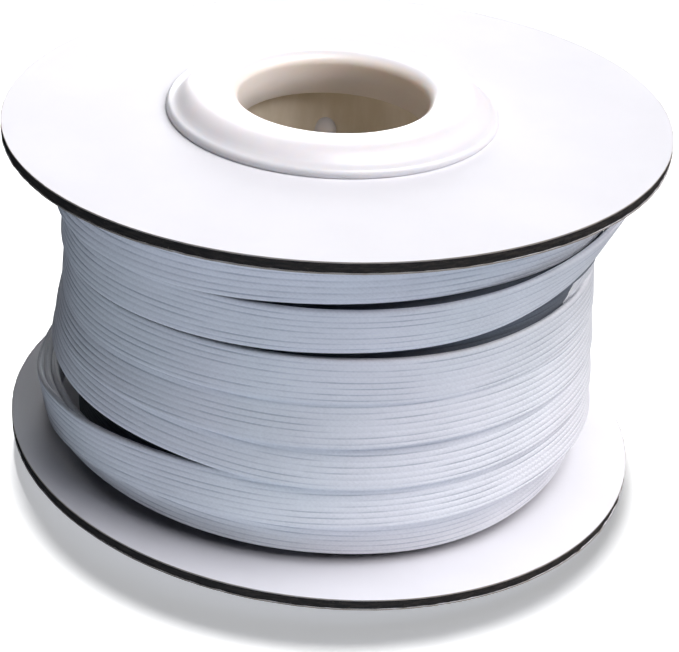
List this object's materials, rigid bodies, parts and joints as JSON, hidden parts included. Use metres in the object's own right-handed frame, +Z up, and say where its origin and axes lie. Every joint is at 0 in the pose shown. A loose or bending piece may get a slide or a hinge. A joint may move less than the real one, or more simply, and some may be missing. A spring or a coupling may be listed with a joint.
{
  "type": "roll of elastic on a card spool",
  "caption": "Flat white braided elastic wound in overlapping turns on a round card-flanged spool with a flared plastic hub and a through bore.",
  "frame": {"origin": "on the surface the spool stands on, under the middle of the round boards", "axes": "+Z up along the spool's hub, -Y the front with the open gaps between turns, +X to the right of the front"},
  "size_m": [0.08, 0.08, 0.049],
  "materials": {
    "board": "white paper-faced pulp board, matt, with a raw dark brown cut edge",
    "hub": "slightly translucent milky white moulded plastic, semi-gloss",
    "elastic": "white braided elastic, cool tint, ribbed along its length, matt"
  },
  "bodies": {
    "root": {"flange_top": "board", "flange_bottom": "board", "hub_collar_top": "hub", "hub_collar_bottom": "hub", "core_tube": "hub", "elastic_winding": "elastic"}
  },
  "joints": []
}
